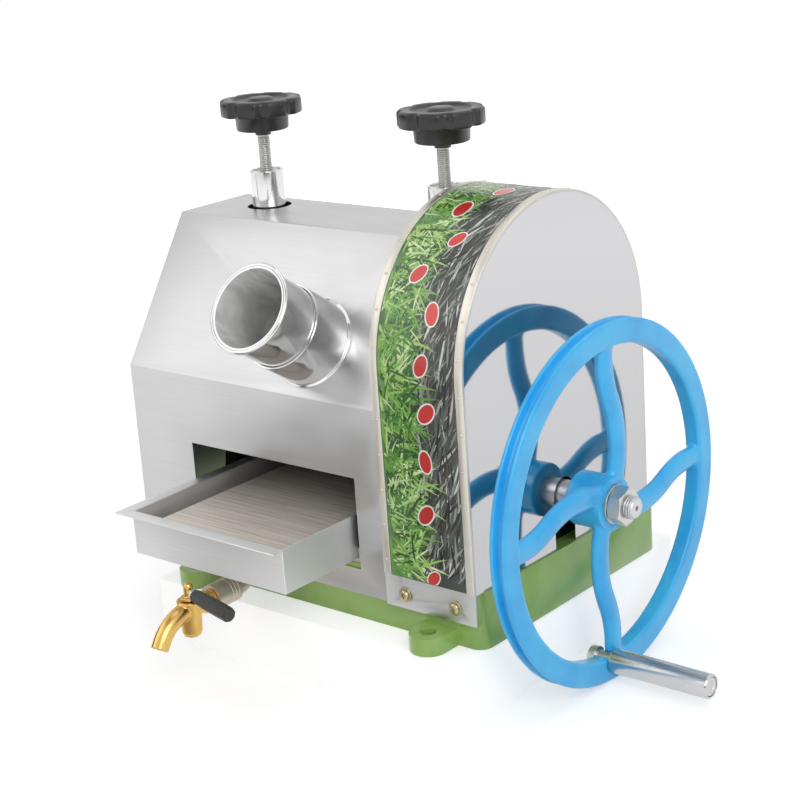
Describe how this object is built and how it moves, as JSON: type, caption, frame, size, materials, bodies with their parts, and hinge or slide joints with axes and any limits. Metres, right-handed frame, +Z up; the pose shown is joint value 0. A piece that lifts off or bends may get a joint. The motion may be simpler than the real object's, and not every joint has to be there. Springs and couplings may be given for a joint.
{
  "type": "hand-cranked sugarcane juicer",
  "caption": "Hand-cranked roller press for sugarcane in a folded steel case, with a feed chute, pressure screws, a juice tray with a tap, and a spoked hand wheel.",
  "frame": {"origin": "centre of the four foot bolt holes, on the underside of the base", "axes": "+X towards the hand wheel, along its shaft; -Y towards the feed chute and the tray; +Z up"},
  "size_m": [0.5505, 0.4489, 0.488],
  "materials": {
    "green_casting": "apple green enamel on a cast base",
    "blue_wheel": "sky blue gloss enamel",
    "brushed_steel": "satin stainless sheet",
    "mirror_steel": "mirror polished stainless sheet",
    "strainer_steel": "dull perforated stainless",
    "chrome": "polished stainless",
    "edge_strip": "satin strip with small rivets",
    "printed_sheet": "printed plant pattern",
    "zinc_steel": "zinc plated",
    "spring_steel": "oiled spring steel",
    "turned_steel": "turned stainless",
    "dark_iron": "dark cast iron",
    "bronze": "bronze bush",
    "black_bakelite": "black bakelite",
    "brass": "polished brass casting",
    "black_plastic": "black sleeve",
    "pipe_steel": "dark pipe fitting"
  },
  "bodies": {
    "frame": {"base_casting": "green_casting", "left_cheek": "dark_iron", "right_cheek": "dark_iron", "tie_rods": "zinc_steel", "roller_bushes": "bronze", "bearing_bracket": "dark_iron", "bracket_bolts": "zinc_steel", "shaft_bushes": "bronze", "left_sleeve": "chrome", "right_sleeve": "chrome", "left_screw_nut": "zinc_steel", "right_screw_nut": "zinc_steel", "front_casing": "brushed_steel", "rear_casing": "brushed_steel", "left_end_panel": "brushed_steel", "arch_band": "brushed_steel", "arch_side_panel": "mirror_steel", "arch_partition": "brushed_steel", "left_rail": "edge_strip", "right_rail": "edge_strip", "printed_band": "printed_sheet", "cover_screws": "zinc_steel", "chute_collar": "chrome", "chute_tube": "chrome", "rear_guide": "brushed_steel", "trash_plate": "brushed_steel", "tray_runners": "brushed_steel"},
    "hand_wheel": {"drive_shaft": "turned_steel", "drive_pinion": "dark_iron", "hand_wheel": "blue_wheel", "wheel_key": "zinc_steel", "wheel_washer": "zinc_steel", "wheel_nut": "zinc_steel", "crank_spindle": "zinc_steel"},
    "crank_grip": {"crank_grip": "chrome"},
    "top_carriage": {"left_bearing_block": "dark_iron", "right_bearing_block": "dark_iron"},
    "top_roller": {"top_roller": "turned_steel", "top_roller_gear": "dark_iron", "drive_gear": "dark_iron"},
    "front_roller": {"front_roller": "turned_steel", "front_roller_gear": "dark_iron"},
    "rear_roller": {"rear_roller": "turned_steel", "rear_roller_gear": "dark_iron"},
    "left_seat": {"left_spring_seat": "zinc_steel", "left_disc_springs": "spring_steel"},
    "right_seat": {"right_spring_seat": "zinc_steel", "right_disc_springs": "spring_steel"},
    "left_screw": {"left_pressure_screw": "zinc_steel", "left_knob": "black_bakelite"},
    "right_screw": {"right_pressure_screw": "zinc_steel", "right_knob": "black_bakelite"},
    "tray": {"juice_tray": "brushed_steel", "strainer_plate": "strainer_steel", "drain_elbow": "pipe_steel", "pipe_coupling": "pipe_steel", "tap_body": "brass", "tap_cap": "brass"},
    "tap": {"tap_plug": "brass", "tap_lever": "black_plastic"}
  },
  "joints": [
    {"name": "hand_wheel_turn", "type": "hinge", "parent": "frame", "child": "hand_wheel", "pos_m": [0.2, -0.009, 0.1], "axis": [1, 0, 0], "continuous": true},
    {"name": "crank_grip_turn", "type": "hinge", "parent": "hand_wheel", "child": "crank_grip", "pos_m": [0.284, -0.0201, -0.04106], "axis": [1, 0, 0], "continuous": true},
    {"name": "top_roller_lift", "type": "slide", "parent": "frame", "child": "top_carriage", "axis": [0, 0, 1], "range_m": [0, 0.0015], "stiffness_N_per_m": 200000, "springref_m": -0.001, "deforming": ["left_disc_springs", "right_disc_springs"]},
    {"name": "top_roller_turn", "type": "hinge", "parent": "top_carriage", "child": "top_roller", "pos_m": [0, 0.005, 0.19649], "axis": [1, 0, 0], "continuous": true},
    {"name": "front_roller_turn", "type": "hinge", "parent": "frame", "child": "front_roller", "pos_m": [0, -0.031, 0.14479], "axis": [1, 0, 0], "continuous": true},
    {"name": "rear_roller_turn", "type": "hinge", "parent": "frame", "child": "rear_roller", "pos_m": [0, 0.041, 0.14479], "axis": [1, 0, 0], "continuous": true},
    {"name": "left_screw_feed", "type": "slide", "parent": "frame", "child": "left_seat", "axis": [0, 0, 1], "range_m": [-0.0035, 0.0035], "deforming": ["left_disc_springs"]},
    {"name": "left_knob_turn", "type": "hinge", "parent": "left_seat", "child": "left_screw", "pos_m": [-0.158, 0.005, 0.4], "axis": [0, 0, 1], "range_deg": [-720, 720]},
    {"name": "right_screw_feed", "type": "slide", "parent": "frame", "child": "right_seat", "axis": [0, 0, 1], "range_m": [-0.0035, 0.0035], "deforming": ["right_disc_springs"]},
    {"name": "right_knob_turn", "type": "hinge", "parent": "right_seat", "child": "right_screw", "pos_m": [0.057, 0.005, 0.4], "axis": [0, 0, 1], "range_deg": [-720, 720]},
    {"name": "tray_slide", "type": "slide", "parent": "frame", "child": "tray", "axis": [0, -1, 0], "range_m": [0, 0.15]},
    {"name": "tap_lever_turn", "type": "hinge", "parent": "tray", "child": "tap", "pos_m": [-0.0665, -0.232, 0.02], "axis": [0, 0, 1], "range_deg": [-90, 0]}
  ],
  "couplings": [
    {"joint": "top_roller_turn", "follows": "hand_wheel_turn", "ratio": -0.27869},
    {"joint": "front_roller_turn", "follows": "hand_wheel_turn", "ratio": 0.27869},
    {"joint": "rear_roller_turn", "follows": "hand_wheel_turn", "ratio": 0.27869},
    {"joint": "left_screw_feed", "follows": "left_knob_turn", "m_per_rad": 0.00027852},
    {"joint": "right_screw_feed", "follows": "right_knob_turn", "m_per_rad": 0.00027852}
  ]
}
